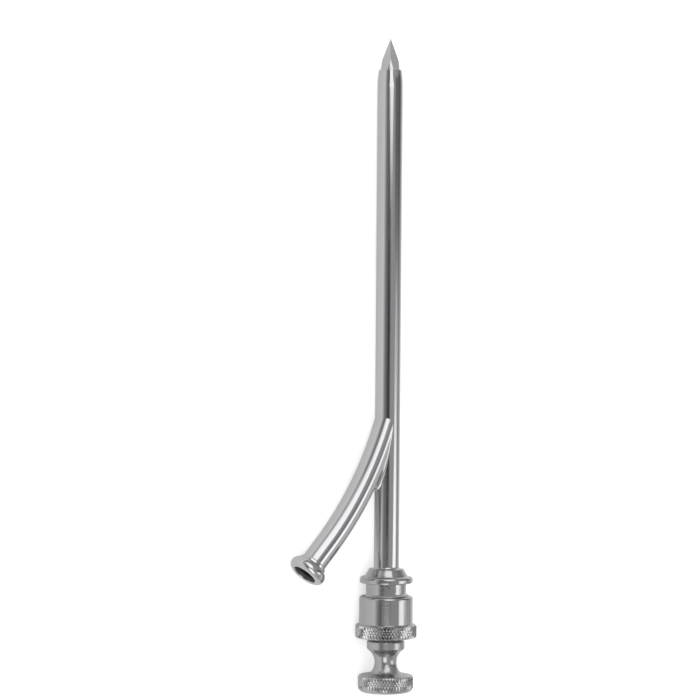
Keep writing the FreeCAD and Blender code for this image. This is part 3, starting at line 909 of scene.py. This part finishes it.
def make_room(studio):
    """Room that the metal reflects: bands round the instrument, an unlit camera side and white cards."""
    room = bpy.data.worlds.new("studio_room")
    bpy.context.scene.world = room
    room.use_nodes = True
    tree = room.node_tree
    tree.nodes.clear()
    direction = add_node(tree, "ShaderNodeTexCoord").outputs["Generated"]
    tilt = math.atan2(-towards_point.z, -towards_point.x)
    turned = add_node(tree, "ShaderNodeMapping", Vector=direction, Rotation=(0, tilt, 0)).outputs[0]
    part = add_node(tree, "ShaderNodeSeparateXYZ", Vector=turned).outputs
    along = part["X"]
    degrees = add_math(tree, "MULTIPLY", add_math(tree, "ARCTAN2", part["Z"], part["Y"]), 180 / math.pi)
    bands = add_node(tree, "ShaderNodeValToRGB", Fac=add_math(tree, "DIVIDE", degrees, 180))
    ramp = bands.color_ramp
    for place, (angle, level) in enumerate(room_bands):
        stop = ramp.elements[place] if place < 2 else ramp.elements.new(angle / 180)
        stop.position = angle / 180
        stop.color = (level, level, level, 1)
    level = bands.outputs[0]
    for stations, first_arc, widest_arc, soft, share in dark_patches:
        inside = add_patch(tree, along, degrees, stations, first_arc, widest_arc, soft)
        kept = add_math(tree, "SUBTRACT", 1.0, add_math(tree, "MULTIPLY", inside, 1 - share))
        level = add_math(tree, "MULTIPLY", level, kept)
    for stations, first_arc, widest_arc, soft, light in lit_patches:
        inside = add_patch(tree, along, degrees, stations, first_arc, widest_arc, soft)
        shone = add_math(tree, "MULTIPLY", inside, light * studio.card_light)
        level = add_math(tree, "MAXIMUM", level, shone)
    shown = add_node(tree, "ShaderNodeBackground", Color=(1, 1, 1, 1), Strength=level).outputs[0]
    white = add_node(tree, "ShaderNodeBackground", Color=(1, 1, 1, 1), Strength=1.0).outputs[0]
    camera_sees = add_node(tree, "ShaderNodeLightPath").outputs["Is Camera Ray"]
    mixed = add_node(tree, "ShaderNodeMixShader", Fac=camera_sees, i1=shown, i2=white).outputs[0]
    add_node(tree, "ShaderNodeOutputWorld", Surface=mixed)


def make_lamp(studio):
    """Broad overhead lamp that lights the table and lays the soft shadow. Metal sees the room instead."""
    lamp = bpy.data.lights.new("overhead_lamp", "AREA")
    lamp.shape = "SQUARE"
    lamp.size = studio.lamp_size
    lamp.energy = studio.lamp_power
    holder = bpy.data.objects.new("overhead_lamp", lamp)
    holder.location = (0, -studio.lamp_reach * studio.lamp_height, studio.lamp_height)
    aim = Vector((0, 0, 0)) - holder.location
    holder.rotation_euler = aim.to_track_quat("-Z", "Y").to_euler()
    holder.visible_glossy = False
    bpy.context.scene.collection.objects.link(holder)


def make_camera(view):
    """Camera that looks at the instrument as the photograph does: point up, arm to the left."""
    _, tip_station = node_ends("stylet_rod")
    tip = axis_point + towards_point * tip_station
    towards_camera = towards_arm * math.cos(view.roll) + across_arm * math.sin(view.roll)
    level_right = towards_point.cross(towards_camera)
    right = level_right * math.cos(view.lean) + towards_point * math.sin(view.lean)
    up = towards_point * math.cos(view.lean) - level_right * math.sin(view.lean)
    middle = tip - towards_point * view.below_tip - level_right * view.beside_axis
    place = Matrix((right, up, towards_camera)).transposed().to_4x4()
    place.translation = middle + towards_camera * view.distance
    camera = bpy.data.cameras.new("photo_camera")
    camera.lens = view.lens
    camera.sensor_width = 36
    camera.clip_start = 0.01
    camera.clip_end = 50
    holder = bpy.data.objects.new("photo_camera", camera)
    holder.matrix_world = place
    bpy.context.scene.collection.objects.link(holder)
    bpy.context.scene.camera = holder


class TROCAR_OT_studio(bpy.types.Operator):
    """Set up the table, the room, the lamp and the camera"""

    bl_idname = "trocar.studio"
    bl_label = "Studio"

    def execute(self, context):
        studio = context.scene.trocar_studio
        make_camera(context.scene.trocar_view)
        make_table(studio)
        make_room(studio)
        make_lamp(studio)
        context.scene.view_settings.view_transform = "Standard"
        return {"FINISHED"}


class TROCAR_PT_panel(bpy.types.Panel):
    """Steps that dress the trocar"""

    bl_idname = "TROCAR_PT_panel"
    bl_label = "Trocar"
    bl_space_type = "VIEW_3D"
    bl_region_type = "UI"
    bl_category = "Trocar"

    def draw(self, context):
        for step in steps:
            self.layout.operator(step.bl_idname)
        for name in groups:
            box = self.layout.box()
            values = getattr(context.scene, name)
            for label in values.__annotations__:
                box.prop(values, label)


groups = {
    "trocar_nut": TrocarNutSizes,
    "trocar_knob": TrocarKnobSizes,
    "trocar_thread": TrocarThreadSizes,
    "trocar_finishes": TrocarFinishes,
    "trocar_view": TrocarView,
    "trocar_studio": TrocarStudio,
}
steps = (
    TROCAR_OT_studio,
    TROCAR_OT_tubes,
    TROCAR_OT_hub,
    TROCAR_OT_stylet,
    TROCAR_OT_gland_nut,
    TROCAR_OT_knob,
    TROCAR_OT_thread,
)


def register():
    """Makes the sizes, the steps and the panel known to Blender."""
    for name, group in groups.items():
        bpy.utils.register_class(group)
        setattr(bpy.types.Scene, name, PointerProperty(type=group))
    for kind in (*steps, TROCAR_PT_panel):
        bpy.utils.register_class(kind)


def unregister():
    """Takes everything away that register added."""
    for kind in (TROCAR_PT_panel, *reversed(steps)):
        bpy.utils.unregister_class(kind)
    for name, group in reversed(list(groups.items())):
        delattr(bpy.types.Scene, name)
        bpy.utils.unregister_class(group)


def main():
    """Runs every step in order."""
    register()
    for step in steps:
        family, name = step.bl_idname.split(".")
        getattr(getattr(bpy.ops, family), name)()


if __name__ == "__main__":
    main()
